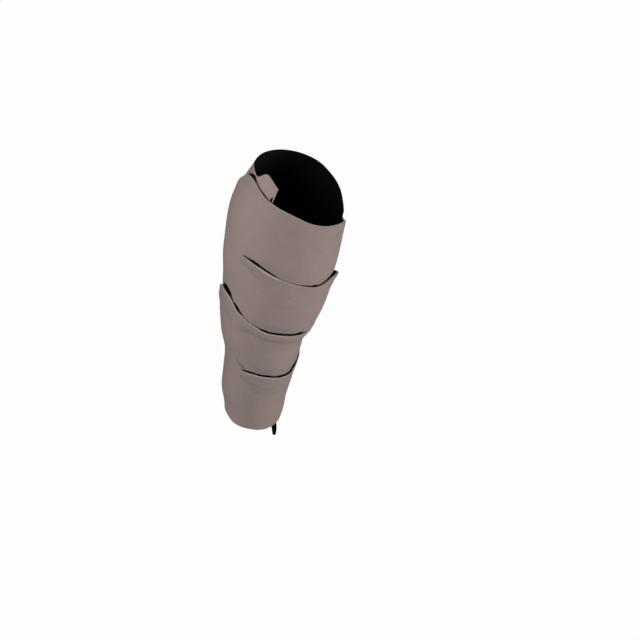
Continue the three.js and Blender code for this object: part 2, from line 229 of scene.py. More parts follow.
def brushedLoop(name, look):
    # Nylon loop face of a foam laminate, brushed: matte and soft, cloudy where the nap lies over, a pale
    # bloom where it is seen edge on. Real loops are 0.4 mm apart, drawn coarser here so that they show.
    # Gaps are painted black, a painted shade, and some lip edges are painted pale, a painted highlight.
    material, tree = newMaterial(name)
    place = addNode(tree, "ShaderNodeTexCoord", {})
    cloud = addNode(tree, "ShaderNodeTexNoise", {
        "Vector": place.outputs["Object"], "Scale": 1 / (look["cloud"] * mm),
        "Detail": 3.0, "Roughness": 0.55})
    nap = addNode(tree, "ShaderNodeTexNoise", {
        "Vector": place.outputs["Object"], "Scale": 1 / (look["nap"] * mm),
        "Detail": 4.0, "Roughness": 0.65})
    loops = addNode(tree, "ShaderNodeTexVoronoi", {
        "Vector": place.outputs["UV"], "Scale": 1 / (look["loops"] * mm), "Randomness": 0.85},
        voronoi_dimensions="2D", feature="SMOOTH_F1")
    tone = addNode(tree, "ShaderNodeMath", {
        0: cloud.outputs["Fac"], 1: look["cloudShare"], 2: 0.5 - 0.5 * look["cloudShare"]},
        operation="MULTIPLY_ADD")
    napTone = addNode(tree, "ShaderNodeMath", {
        0: nap.outputs["Fac"], 1: look["napShare"], 2: -0.5 * look["napShare"]},
        operation="MULTIPLY_ADD")
    both = addNode(tree, "ShaderNodeMath", {
        0: tone.outputs[0], 1: napTone.outputs[0]}, operation="ADD", use_clamp=True)
    colour = addNode(tree, "ShaderNodeMix", {
        0: both.outputs[0], 6: linear(look["dark"]), 7: linear(look["pale"])}, data_type="RGBA")
    # the gap attribute paints the face black in gaps and creases, a painted shade, and pale along a lip's
    # edge where it is below 0, a painted highlight
    gap = addNode(tree, "ShaderNodeAttribute", {}, attribute_name="gap")
    paintedHighlight = addNode(tree, "ShaderNodeMath", {
        0: gap.outputs["Fac"], 1: -1.0}, operation="MULTIPLY", use_clamp=True)
    lip = addNode(tree, "ShaderNodeMix", {
        0: paintedHighlight.outputs[0], 6: colour.outputs[2], 7: linear(look["lip"])}, data_type="RGBA")
    shown = addNode(tree, "ShaderNodeMix", {
        0: gap.outputs["Fac"], 6: lip.outputs[2], 7: linear(look["gap"])}, data_type="RGBA")
    pile = addNode(tree, "ShaderNodeMath", {
        0: loops.outputs["Distance"], 1: -look["loopShare"], 2: nap.outputs["Fac"]}, operation="MULTIPLY_ADD")
    bump = addNode(tree, "ShaderNodeBump", {
        "Height": pile.outputs[0], "Distance": look["pileDepth"] * mm, "Strength": 0.8})
    shader = addNode(tree, "ShaderNodeBsdfPrincipled", {
        "Base Color": shown.outputs[2], "Normal": bump.outputs[0], "Roughness": 0.92, "IOR": 1.5,
        "Specular IOR Level": 0.15, "Sheen Weight": look["sheen"], "Sheen Roughness": 0.45,
        "Sheen Tint": linear(look["bloom"])})
    addNode(tree, "ShaderNodeOutputMaterial", {"Surface": shader.outputs[0]})
    return material


def waveScale(rib):
    # at scale 1 a wave texture turns through 20 radians in a metre, and a rib is half a turn
    return 1 / (rib * mm) / 20 * math.pi


def knitLining(name, look):
    # Black polyester tricot on the inner side: flat fine ribs, nearly black with a little warm bloom.
    # Real ribs are about half as wide, drawn coarser here so that they show.
    material, tree = newMaterial(name)
    place = addNode(tree, "ShaderNodeTexCoord", {})
    ribs = addNode(tree, "ShaderNodeTexWave", {
        "Vector": place.outputs["UV"], "Scale": waveScale(look["rib"]), "Distortion": 0.6, "Detail": 1.0},
        bands_direction="X")
    fuzz = addNode(tree, "ShaderNodeTexNoise", {
        "Vector": place.outputs["Object"], "Scale": 1 / (look["fuzz"] * mm), "Detail": 3.0})
    colour = addNode(tree, "ShaderNodeMix", {
        0: fuzz.outputs["Fac"], 6: linear(look["dark"]), 7: linear(look["pale"])}, data_type="RGBA")
    height = addNode(tree, "ShaderNodeMath", {
        0: ribs.outputs["Fac"], 1: look["ribShare"], 2: fuzz.outputs["Fac"]}, operation="MULTIPLY_ADD")
    bump = addNode(tree, "ShaderNodeBump", {
        "Height": height.outputs[0], "Distance": look["ribDepth"] * mm, "Strength": 0.7})
    shader = addNode(tree, "ShaderNodeBsdfPrincipled", {
        "Base Color": colour.outputs[2], "Normal": bump.outputs[0], "Roughness": 0.85, "IOR": 1.5,
        "Specular IOR Level": 0.08, "Sheen Weight": 0.003, "Sheen Roughness": 0.5})
    addNode(tree, "ShaderNodeOutputMaterial", {"Surface": shader.outputs[0]})
    return material


def cutFoam(name, look):
    # Cut edge of a laminate: open foam between two cloths, dull and finely pitted
    material, tree = newMaterial(name)
    place = addNode(tree, "ShaderNodeTexCoord", {})
    pits = addNode(tree, "ShaderNodeTexVoronoi", {
        "Vector": place.outputs["Object"], "Scale": 1 / (look["pit"] * mm)}, feature="F1")
    fuzz = addNode(tree, "ShaderNodeTexNoise", {
        "Vector": place.outputs["Object"], "Scale": 1 / (look["fuzz"] * mm), "Detail": 3.0})
    colour = addNode(tree, "ShaderNodeMix", {
        0: fuzz.outputs["Fac"], 6: linear(look["dark"]), 7: linear(look["pale"])}, data_type="RGBA")
    bump = addNode(tree, "ShaderNodeBump", {
        "Height": pits.outputs["Distance"], "Distance": look["pitDepth"] * mm, "Strength": 0.6})
    shader = addNode(tree, "ShaderNodeBsdfPrincipled", {
        "Base Color": colour.outputs[2], "Normal": bump.outputs[0], "Roughness": 0.95, "IOR": 1.45,
        "Specular IOR Level": look["glint"]})
    addNode(tree, "ShaderNodeOutputMaterial", {"Surface": shader.outputs[0]})
    return material


# gap is the colour of the painted shade, and lip is the colour of the painted highlight
bandFace = brushedLoop("brushed_nylon_loop", {
    "dark": "#7C6D69", "pale": "#938480", "bloom": "#F4EEEA", "cloud": 16, "cloudShare": 0.4, "nap": 1.3,
    "napShare": 1.0, "loops": 1.0, "loopShare": 0.6, "pileDepth": 0.22, "sheen": 0.03, "gap": "#050404",
    "lip": "#C4B6AE"})
panelFace = brushedLoop("brushed_nylon_loop_panel", {
    "dark": "#80716D", "pale": "#988985", "bloom": "#F4EEEA", "cloud": 14, "cloudShare": 0.4, "nap": 1.3,
    "napShare": 1.0, "loops": 1.0, "loopShare": 0.6, "pileDepth": 0.22, "sheen": 0.03, "gap": "#050404",
    "lip": "#C4B6AE"})
lining = knitLining("black_polyester_tricot", {
    "dark": "#050404", "pale": "#0A0808", "rib": 1.2, "ribShare": 0.7, "ribDepth": 0.12, "fuzz": 2.0})
cutEdge = cutFoam("cut_polyurethane_foam", {
    "dark": "#A09189", "pale": "#B8AAA2", "pit": 0.5, "pitDepth": 0.12, "fuzz": 1.5, "glint": 0.1})
panelEdge = cutFoam("cut_black_foam", {
    "dark": "#060505", "pale": "#0D0B0B", "pit": 0.5, "pitDepth": 0.12, "fuzz": 1.5, "glint": 0.02})
print("materials:", len(bpy.data.materials))

# Bands: the free top edge, three lap lines and the hem. lap is how far the band above runs on below a
# line, tuck how deep the lip presses it in, lift how far the lip stands off it.

topEdge = {
    "columns": ("angle", "z", "lift"),
    "rows": [
        (-150, 270, 0), (-115, 273, 0.2), (-100, 277.4, 0.5), (-92, 281.6, 0.8), (-86, 286.4, 1.2),
        (-80, 291.6, 1.6), (-75, 296.6, 1.9), (-70, 299.4, 2), (-64, 300.9, 1.9), (-56, 300.4, 1.5),
        (-42, 294.5, 0.6), (-31, 289.6, 0.4), (-21, 286.4, 0.3), (10, 277.7, 0), (25, 272.4, 0),
        (37, 269.6, 0), (50, 267.5, 0), (60, 266.9, 0), (66, 266.4, 0), (72, 265.6, 0), (78, 264.6, 0),
        (84, 263, 0), (90, 260.2, 0), (96, 257.2, 0), (102, 254.8, 0), (110, 253.6, 0), (120, 255, 0),
        (134, 260.5, 0), (168, 262, 0),
    ],
}
upperSlit = {
    "columns": ("angle", "z", "lap", "tuck", "lift"),
    "rows": [
        (-43, 218.8, 8, 0, 0), (-36, 217.6, 8, 0, 0.2), (-30, 216.7, 8, 0, 1.4), (-24, 215.4, 8, 0, 2.2),
        (-17, 212.7, 8.5, 0.4, 2), (-11, 210, 9, 0.8, 1.7), (1, 204.9, 10, 1.6, 0.8),
        (23, 198.8, 10, 1.8, 0.2), (40, 195.8, 10, 1.8, 1.6), (52, 194.4, 10, 1.7, 1.6),
        (62, 195.4, 10, 1.5, 1.2), (75, 199.4, 10, 1, 1.8), (86, 200, 10, 0.7, 3),
        (92, 198.2, 10, 0.5, 2.4), (98, 195.4, 10, 0.4, 1.6), (114, 188.5, 10, 0, 0.3),
        (168, 186, 10, 0, 0),
    ],
}
middleLine = {
    "columns": ("angle", "z", "lap", "tuck", "lift"),
    "rows": [
        (-150, 142, 8, 0, 0), (-115, 145, 8, 0, 0.3), (-98, 151.4, 8, 0, 0.3), (-85, 158.6, 8.5, 0, 0.5),
        (-72, 164.2, 9, 0, 0.7), (-60, 163.2, 9, 0, 1), (-51, 159.4, 9, 0, 0.3), (-36, 149.6, 8, 0, 1.2),
        (-28, 145.3, 7, 0, 0.3), (-20, 141.6, 6, 0.2, 0.1), (-10, 138.4, 6, 0.8, 0.3),
        (-3, 135.5, 6, 1.4, 1), (8, 133, 6, 1.6, 1.2), (22, 131.6, 6, 1.8, 1.2), (50, 130.1, 6, 2, 1.2),
        (60, 130.1, 6, 2.2, 0.9), (68, 130.6, 6, 2.3, 0.1), (78, 131.6, 6, 2.3, 0),
        (95, 133.4, 7, 1.4, 0), (113, 135, 8, 0, 0), (168, 135, 9, 0, 0),
    ],
}
lowerSlit = {
    "columns": ("angle", "z", "lap", "tuck", "lift"),
    "rows": [
        (-28, 75.4, 9, 0, 0.6), (-22, 76.9, 9, 0.2, 0.8), (-9, 77, 11, 0.8, 1.2), (8, 75.5, 13, 1.5, 1.8),
        (24, 74.7, 14, 1.8, 1.8), (43, 73.4, 13, 1.8, 1.8), (54, 73.4, 12, 1.8, 1.8),
        (59, 73.4, 11.8, 1.9, 1.7), (64, 73.6, 11.5, 1.9, 1.6), (71, 74.3, 11, 2, 1.4),
        (79, 76.6, 10, 2.2, 1.2), (85, 80, 10, 2.1, 1), (90, 83.8, 10, 2, 0.9), (95, 86.4, 10, 1.6, 0.7),
        (101, 87.8, 10, 1.1, 0.4), (113, 88.4, 10, 0, 0), (168, 86, 10, 0, 0),
    ],
}
ankleHem = {
    "columns": ("angle", "z"),
    "rows": [
        (-150, 7), (-90, 8), (-60, 8), (-35, 4), (0, 3.2), (38, 3.1), (44, 3.6), (50, 4.4), (57, 5.3),
        (64, 6.1), (70, 6.7), (78, 6.9), (100, 6), (168, 6),
    ],
}
slits = {"seam": -150, "eyeAngle": 8, "eyeGap": 0.4, "tipRun": 4}
padRise = {"from": 108, "to": 138}
endCorner = {"angle": 13, "height": 13, "steps": 12}

# fall is the height over which a lip comes down again past the lap; the cloth above a line is tucked in
# from one height over it down to another
bendColumns = ("angle", "fall", "tuckTo", "tuckFrom")
plainBend = {"columns": bendColumns, "rows": [(-150, 12, 0, 12), (168, 12, 0, 12)]}
middleBend = {"columns": bendColumns, "rows": [
    (-76, 13, 0, 12), (-64, 16, 0, 12), (-50, 21, 0, 12), (-40, 22, 0, 12), (-30, 16, 0, 12),
    (-20, 9, 0, 12), (0, 6, 0, 12), (52, 5.5, 0, 12), (56, 5.4, 0, 12), (63, 5.25, -2.2, 2),
    (66, 5.2, -2.2, 0.8), (69, 5.2, -2.2, 0.6), (78, 5, -2.2, 0.6), (93, 7.6, -2.2, 0.6),
    (96, 8.2, -2.2, 0.8), (99, 8.9, -2.2, 2), (106, 10.5, 0, 12), (120, 13, 0, 12)]}
free = {"line": curvesOf(topEdge)}
upper = {"line": curvesOf(upperSlit), "blindEnd": upperSlit["rows"][0][0], "bend": curvesOf(plainBend)}
# the middle line runs on to the seam, so its blind end is out of reach
middle = {"line": curvesOf(middleLine), "blindEnd": -1e6, "bend": curvesOf(middleBend)}
lower = {"line": curvesOf(lowerSlit), "blindEnd": lowerSlit["rows"][0][0], "bend": curvesOf(plainBend)}
hem = {"line": curvesOf(ankleHem)}
bands = [
    {"above": free, "below": upper, "end": 166, "rows": (6, 10, 8, 24, 12)},
    {"above": upper, "below": middle, "end": 161, "rows": (6, 10, 8, 12, 24)},
    {"above": middle, "below": lower, "end": 166, "rows": (6, 10, 8, 10, 24)},
    {"above": lower, "below": hem, "end": 161, "rows": (2, 2, 6, 16, 26)},
]

# Behind each free lip the cloth turns in, so that a dark gap opens. deep is how far in it goes, over how
# high above the lip's edge that starts and turn the height it takes; where the lip lies flat all are small.
gapColumns = ("angle", "deep", "over", "turn")
free["gap"] = curvesOf({"columns": gapColumns, "rows": [
    (-92, 0, 0.2, 0.8), (-84, 0.6, 1.6, 0.8), (-80, 3, 3, 0.8), (-77, 5, 2.5, 0.8), (-74, 6.2, 1.7, 0.8),
    (-69, 6.5, 1.2, 0.8), (-65, 6.5, 1.25, 0.8), (-61, 6.5, 1.6, 0.8), (-59, 5, 1.2, 0.8),
    (-57.5, 2.4, 0.3, 0.8), (-54, 0.9, 0, 0.8), (-48, 1, 0, 0.8), (-40, 1.8, 0.2, 0.8),
    (-34, 2.5, 0.5, 0.8), (-30, 1.6, 0.2, 0.8), (-22, 1.8, 0.2, 0.8)]})
upper["gap"] = curvesOf({"columns": gapColumns, "rows": [
    (-43, 0, 0, 1), (-42, 1.2, 0.5, 1), (-40.8, 2.6, 0.75, 1), (-39, 2.6, 0.7, 1), (-37.3, 1.6, 0.4, 1),
    (-35.5, 0.9, 0.1, 1), (-34, 0.7, 0, 1), (-32, 1.6, 0.3, 1), (-30, 3, 0.8, 1), (-27, 4.6, 1.25, 1),
    (-22, 4.6, 1, 1), (-17, 4.6, 1, 1), (-12, 3.8, 0.75, 1), (-7, 3.5, 0.95, 1), (-4, 3.4, 1.15, 1),
    (0, 2.6, 1, 1), (4, 1, 0.4, 1), (8, 0.2, 0.1, 1), (20, 0, 0.05, 1), (26, 0.6, 0.2, 1),
    (30, 0.7, 0.15, 1), (35, 1.3, 0.2, 1), (40, 2.2, 0.25, 1), (45, 2.4, 0.2, 1), (48, 3.2, 0.6, 1),
    (52, 4, 1.15, 1), (55, 2.6, 0.35, 1), (58, 1.2, 0, 1), (62, 0.9, 0, 1), (74, 0.8, 0, 1),
    (80, 2.6, 0.7, 1), (90, 3.4, 0.9, 1), (98, 2, 0.5, 1), (114, 0, 0.2, 1)]})
middle["gap"] = curvesOf({"columns": gapColumns, "rows": [
    (-80, 0, 0.2, 1), (-76, 2, 1.4, 1), (-72, 5.5, 3.8, 1), (-66, 7, 5.2, 1), (-60, 7, 5.2, 1),
    (-56, 6.6, 4.9, 1), (-53, 5.8, 4.5, 1), (-50.5, 3.4, 2.1, 1), (-48, 1.3, 0.35, 1), (-46, 1.6, 0.4, 1),
    (-42, 4.4, 1.5, 1), (-38, 4.2, 1.65, 1), (-35, 2.6, 0.9, 1), (-32, 1, 0.3, 1), (-29, 0.1, 0, 1),
    (-18, 0, 0, 1.2), (-13, 0.5, 0.15, 1.4), (-8, 1.8, 0.4, 1.6), (-3, 3.6, 0.9, 1.7), (0, 4.4, 1.3, 1.8),
    (6, 4.6, 1.6, 1.8), (11, 4.8, 1.35, 1.8), (20, 4.8, 1.55, 1.8), (34, 4.8, 1.55, 1.8),
    (46, 4.8, 1.4, 1.8), (52, 4.6, 1.7, 1.8), (60, 4, 1.4, 1.6), (65, 1.6, 0.5, 1), (68, 0.3, 0.1, 1),
    (96, 0.3, 0.1, 1), (113, 0, 0.1, 1)]})
lower["gap"] = curvesOf({"columns": gapColumns, "rows": [
    (-28, 0, 0.1, 1.5), (-25, 0.3, 0.2, 1.7), (-22.5, 1.1, 0.5, 2), (-20, 2.4, 1, 2.2),
    (-16, 3.6, 1.3, 2.4), (-11, 4, 1.45, 2.4), (-7, 4, 1.3, 2.4), (-1, 4, 1.05, 2.3), (10, 4, 1, 2.2),
    (15, 4, 1.2, 2.2), (22, 4, 1.1, 2.2), (28, 4, 0.8, 2.2), (36, 4.2, 0.7, 2.1), (44, 4.2, 1, 2),
    (52, 3.6, 0.6, 1.7), (58, 3.2, 0.45, 1.4), (66, 2.6, 0.3, 1.2), (74, 2.2, 0.2, 1), (80, 2.6, 0.6, 1),
    (90, 3.2, 1.2, 1), (96, 2.4, 0.8, 1), (104, 1, 0.3, 1), (113, 0, 0.2, 1)]})
gapHeights = {"hold": 7, "back": 18}  # how far below a lip's edge the cloth stays in, and is back out
gapPaintedShade = (0.7, 1.4)  # over these depths the face is painted black, a painted shade for the dark gap behind a lip


def gapDepth(overlap, angle, z, early=0.0):
    # early starts the turn higher and ends it lower, for the layer that has to keep clear below
    gap = overlap["gap"](angle)
    below = overlap["line"](angle)["z"] - z
    into = ramp(below, -gap["over"] - early, gap["turn"] - gap["over"] - early / 4)
    out = ramp(below, gapHeights["hold"] + early, gapHeights["back"] + early)
    return np.maximum(0, gap["deep"]) * into * (1 - out)


# Where the edge of the cloth below shows through a band as a soft step: places are (angle, z) along its
# foot, out is its height (below 0 a crease), fall the height over which it comes down, reach how far up it
# runs out, ends the angles over which it fades and shade how dark a crease is painted at its foot, a painted
# shade
shownEdges = [
    {"band": 2, "out": 0.75, "fall": 3.6, "reach": 9, "ends": (10, 16), "columns": ("angle", "z"), "rows": [
        (-31, 140), (-24, 136.6), (-8.7, 129.4), (7.7, 125.4), (26.4, 122.4), (55, 121.6), (66, 122)]},
    {"band": 3, "out": 0.9, "fall": 4, "reach": 9, "ends": (10, 16), "columns": ("angle", "z"), "rows": [
        (-24, 69), (-20.1, 68.3), (-6.6, 65.1), (7.2, 61.9), (17.6, 60), (27.7, 60.7), (40, 61)]},
    {"band": 2, "out": -1.9, "fall": 2.4, "reach": 2.2, "ends": (4, 6), "shade": 0.45,
     "columns": ("angle", "z"), "rows": [
        (-36, 92), (-32, 86.4), (-30, 82.8), (-26, 80.6), (-21, 79.8), (-15, 78.6)]},
]
creaseFocus = 1.6  # how much narrower the shade of a crease is than its fall

# Lips that are pressed thin: one that runs up the right side, so that the gap behind it shows from the
# front, and one that lies flush in the cloth above. thin is taken off the back over run below the edge.
thinLips = [
    {"band": 3, "thin": 1.3, "from": (74, 86), "to": (96, 108), "run": 13},
    {"band": 2, "thin": 2.0, "from": (61, 65), "to": (97, 104), "run": 3.2},
]
# A lip that is painted pale along its edge, a painted highlight: the angles over which that comes and goes,
# and the depths below the edge over which it fades
paintedLipHighlight = {"band": 1, "from": (-26, -9), "to": (1, 7), "fade": (0.5, 1.8), "share": 0.75}


def lipThinning(bandIndex, angle, z):
    total = np.zeros(z.shape)
    for lip in thinLips:
        if lip["band"] == bandIndex:
            along = ramp(angle, *lip["from"]) * (1 - ramp(angle, *lip["to"]))
            depth = upperEdge(bands[bandIndex], angle)["z"] - z
            total += lip["thin"] * along * (1 - ramp(depth, 0, lip["run"]))
    return total


def overlapAt(overlap, angle):
    # a slit's lips part over its eye and only then pass each other
    line = overlap["line"](angle)
    eyeEnd = overlap["blindEnd"] + slits["eyeAngle"]
    parted = ramp(angle, overlap["blindEnd"], eyeEnd)
    passed = ramp(angle, eyeEnd, eyeEnd + 2 * slits["eyeAngle"])
    tip = ramp(angle, overlap["blindEnd"], overlap["blindEnd"] + slits["tipRun"])
    return {
        "z": line["z"],
        "lap": line["lap"] * passed,
        "under": line["z"] + slits["eyeGap"] * (parted - passed) - line["lap"] * passed,
        "tuck": line["tuck"] * passed,
        "rise": (layers["band"] + layers["gap"]) * parted - line["tuck"] * passed,
        "lift": line["lift"] * parted,
        "edge": cloth["edge"] * tip,
        **overlap["bend"](angle),
    }


def upperEdge(band, angle):
    if band["above"] is free:
        line = free["line"](angle)
        flat = np.zeros_like(line["z"])
        return {"z": line["z"], "lap": flat, "rise": flat, "lift": line["lift"], "edge": flat + cloth["edge"],
                "fall": flat + 1, "settled": line["z"] - bends["liftRun"]}
    edge = overlapAt(band["above"], angle)
    return {**edge, "settled": edge["z"] - edge["lap"] - bends["lipRun"]}


def lowerEdge(band, angle):
    if band["below"] is hem:
        z = hem["line"](angle)["z"]
        flat = np.zeros_like(z)
        return {"z": z, "under": z, "tuck": flat, "tuckTo": flat, "tuckFrom": flat + 1,
                "edge": flat + cloth["edge"], "settled": z + bends["tuckRun"]}
    edge = overlapAt(band["below"], angle)
    return {**edge, "settled": edge["z"] + bends["tuckRun"]}


def bandOffset(band, angle, z):
    top, bottom = upperEdge(band, angle), lowerEdge(band, angle)
    depth = top["z"] - z
    onPads = ramp(angle, padRise["from"], padRise["to"]) * (layers["pad"] + layers["gap"])
    start = top["lap"] + bends["lapMargin"]
    lip = top["rise"] * (1 - ramp(depth, start, start + top["fall"]))
    lift = top["lift"] * (1 - ramp(depth, 0, bends["liftRun"]))
    tuck = bottom["tuck"] * (1 - ramp(z - bottom["z"], bottom["tuckTo"], bottom["tuckFrom"]))
    turn = 0.0 if band["below"] is hem else gapDepth(band["below"], angle, z)
    return layers["panel"] + layers["gap"] + onPads + lip + lift - tuck - turn


endInset = math.degrees(cloth["edge"] / cloth["unrolled"])  # the edge's rounding at a band's end, as an angle
# Close mesh rows take in the turn of a gap, from under to over it, and start above the band's first row
closeRows = {"under": 0.6, "over": 0.8, "first": 1.2, "least": 2, "hem": {"over": 1.0, "turn": 1.0}}


def bandRows(band, angle):
    # heights of the mesh rows at each angle, closest at the gap under a lip and drawn in at the rounded end
    top, bottom = upperEdge(band, angle), lowerEdge(band, angle)
    first, last = bottom["under"] + bottom["edge"], top["z"] - top["edge"]
    edge = np.maximum(bottom["z"], bottom["under"])
    gap = closeRows["hem"] if band["below"] is hem else band["below"]["gap"](angle)
    low = np.maximum(edge + gap["over"] - gap["turn"] - closeRows["under"], first + closeRows["first"])
    high = np.maximum(edge + gap["over"] + closeRows["over"], low + closeRows["least"])
    anchors = [first, low, high, bottom["settled"], top["settled"], last]
    rows = []
    for i, count in enumerate(band["rows"]):
        t = np.arange(count) / count
        rows.append(anchors[i][:, None] + (anchors[i + 1] - anchors[i])[:, None] * t)
    heights = np.concatenate([*rows, last[:, None]], 1)
    along = np.maximum(0, 1 - (band["end"] - endInset - angle) / endCorner["angle"])
    inset = endCorner["height"] * (1 - np.sqrt(np.maximum(0, 1 - along * along)))
    centre = (first + last) / 2
    return centre[:, None] + (heights - centre[:, None]) * (1 - inset / (last - centre))[:, None]


def freeColumns(blindEnd, end):
    straight = end - endInset - endCorner["angle"]
    count = round(math.radians(straight - blindEnd) * cloth["unrolled"] / cloth["cell"])
    turns = np.radians(steps(0, 90, endCorner["steps"]))[1:]
    rounded = straight + endCorner["angle"] * np.sin(turns)
    return np.concatenate([steps(blindEnd, straight, count)[1:], rounded])


def shownSteps(bandIndex, angle, z):
    # height of the steps and creases, and how dark the creases are painted, a painted shade
    total, shade = np.zeros(z.shape), np.zeros(z.shape)
    for edge in shownEdges:
        if edge["band"] == bandIndex:
            above = z - curvesOf(edge)(angle)["z"]
            first, last = edge["rows"][0][0], edge["rows"][-1][0]
            ends = ramp(angle, first, first + edge["ends"][0]) * ramp(angle, last, last - edge["ends"][1])
            raised = ramp(above, -edge["fall"] / 2, edge["fall"] / 2)
            total += edge["out"] * ends * raised * np.exp(-((np.maximum(0, above) / edge["reach"]) ** 2))
            shade += edge.get("shade", 0) * ends * np.exp(-((above / edge["fall"] * creaseFocus) ** 2))
    return total, shade


def wrapObject(name, topIndex, materials):
    # two bands that are one cloth from the seam to the blind end of the slit between them
    top, bottom = bands[topIndex], bands[topIndex + 1]
    blindEnd = top["below"]["blindEnd"]
    seam = slits["seam"] + endInset
    count = round(math.radians(blindEnd - seam) * cloth["unrolled"] / cloth["cell"])
    joined = steps(seam, blindEnd, count)
    corners, grids, dark, used = [], [], [], 0
    for index in (topIndex, topIndex + 1):
        band = bands[index]
        angles = np.concatenate([joined, freeColumns(blindEnd, band["end"])])
        z = bandRows(band, angles)
        angle = np.broadcast_to(angles[:, None], z.shape)
        thin = lipThinning(index, angle, z)
        offset = bandOffset(band, angle, z) + thin
        bulge = np.full(z.shape, cloth["edge"])
        bulge[:, 0] = lowerEdge(band, angles)["edge"]
        bulge[:, -1] = upperEdge(band, angles)["edge"]
        step, shade = shownSteps(index, angle, z)
        depth = np.zeros(z.shape) if band["below"] is hem else gapDepth(band["below"], angle, z)
        # black is a painted shade in the gaps and creases; the pale lip below takes it under 0, a painted
        # highlight
        black = np.maximum(ramp(depth, *gapPaintedShade), shade)
        if index == paintedLipHighlight["band"]:
            along = ramp(angle, *paintedLipHighlight["from"]) * (1 - ramp(angle, *paintedLipHighlight["to"]))
            below = upperEdge(band, angle)["z"] - z
            black = black - paintedLipHighlight["share"] * along * (1 - ramp(below, *paintedLipHighlight["fade"]))
        dark.append(black.reshape(-1))
        corners.append(cornerRow(angle, z, offset, layers["band"], bulge, step - thin))
        grids.append(used + np.arange(z.size).reshape(z.shape))
        used += z.size
    grids[1][:len(joined), -1] = grids[0][:len(joined), 0]
    return sheetObject(name, corners, grids, materials, np.concatenate(dark))


wrapCloth = [bandFace, lining, cutEdge]
upperWrap = wrapObject("upper_wrap_cloth", 0, wrapCloth)
lowerWrap = wrapObject("lower_wrap_cloth", 2, wrapCloth)
print("bands:", [len(o.data.polygons) for o in (upperWrap, lowerWrap)], "faces")

# Back panel: the inner layer, with the pointed tab at its front end and the loose corner under the hem

panel = {
    "right": -246, "tabEnd": -22.5, "columns": (126, 18), "snipRun": 3, "rows": (118, 22, 14),
    "closeRows": {"under": 2, "over": 4.4, "fromTop": (12, 5)}, "keepClear": 4.0,
    "edgeReach": (-205, -238),
    "calfLean": {"angle": 9, "from": 215, "to": 255},
    "ankleLean": {"angle": 7, "from": 30, "to": -10},
    "cornerFlare": {"out": 5.5, "from": 8, "to": -20, "reach": (-224, -250)},
    "snip": {"angle": -25.5, "z": 288.9, "wide": 1.5, "high": 3.8, "deep": 2.4,
             "side": (0.7, 1.0), "black": (0.2, 0.5)},
}
panelTop = {
    "columns": ("angle", "z"),
    "rows": [
        (-246, 263), (-236, 271), (-225, 281), (-205, 294), (-180, 302), (-150, 306), (-124, 306.5),
        (-100, 304.8), (-76, 307), (-65, 305.6), (-58, 304.2), (-53, 305.8), (-47, 311.2), (-42, 313),
        (-38, 311.7), (-22.5, 303.2),
    ],
}
panelBottom = {
    "columns": ("angle", "z"),
    "rows": [
        (-246, -23.4), (-243.5, -24.5), (-241.5, -24), (-239.5, -22.2), (-237.5, -19.6), (-234.5, -16),
        (-230, -10.4), (-223, -3), (-216, 2.4), (-180, 9), (-90, 11), (-22.5, 8),
    ],
}


def panelObject(name, materials):
    snip, close = panel["snip"], panel["closeRows"]
    finer = snip["angle"] - panel["snipRun"]
    angles = np.concatenate([
        steps(panel["right"] + endInset, finer, panel["columns"][0])[:-1],
        steps(finer, panel["tabEnd"] - endInset, panel["columns"][1])])
    low = curvesOf(panelBottom)(angles)["z"] + cloth["edge"]
    high = curvesOf(panelTop)(angles)["z"] - cloth["edge"]
    lip = free["line"](angles)["z"]
    # close rows where the wrap's top edge crosses the panel
    under = np.minimum(lip - close["under"], high - close["fromTop"][0])
    over = np.minimum(lip + close["over"], high - close["fromTop"][1])
    anchors = [low, under, over, high]
    rows = []
    for i, count in enumerate(panel["rows"]):
        rows.append(anchors[i][:, None] + (anchors[i + 1] - anchors[i])[:, None] * np.arange(count) / count)
    z = np.concatenate([*rows, high[:, None]], 1)
    angle = np.broadcast_to(angles[:, None], z.shape)
    nearEdge = ramp(angle, *panel["edgeReach"])
    lean = sum(
        panel[k]["angle"] * ramp(z, panel[k]["from"], panel[k]["to"]) for k in ("calfLean", "ankleLean"))
    flare = panel["cornerFlare"]
    offset = flare["out"] * ramp(angle, *flare["reach"]) * ramp(z, flare["from"], flare["to"])
    offset = offset - gapDepth(free, angle, z)
    for overlap in (upper, middle, lower):
        offset = offset - gapDepth(overlap, angle, z, panel["keepClear"])
    # a small snip at the foot of the tab. dark paints the panel black where it turns in behind the wrap's top
    # edge, a painted shade, and in the snip, partly the black back that shows in the cut and partly a painted
    # shade in the dent
    away = np.hypot((angle - snip["angle"]) / snip["wide"], (z - snip["z"]) / snip["high"])
    cut = 1 - ramp(away, *snip["side"])
    dark = np.maximum(ramp(gapDepth(free, angle, z), *gapPaintedShade), ramp(cut, *snip["black"])).reshape(-1)
    edges = np.full(z.shape, cloth["edge"])
    corners = cornerRow(angle - nearEdge * lean, z, offset, layers["panel"], edges, -snip["deep"] * cut)
    return sheetObject(name, [corners], [np.arange(z.size).reshape(z.shape)], materials, dark)


backPanel = panelObject("back_panel_cloth", [panelFace, lining, panelEdge])
print("panel:", len(backPanel.data.polygons), "faces")

# Hook pads between the band ends and the panel

hookPads = [
    {"from": 140, "to": 158, "low": 204, "high": 258},
    {"from": 140, "to": 153, "low": 146, "high": 172},
    {"from": 140, "to": 158, "low": 98, "high": 122},
    {"from": 140, "to": 153, "low": 16, "high": 72},
]


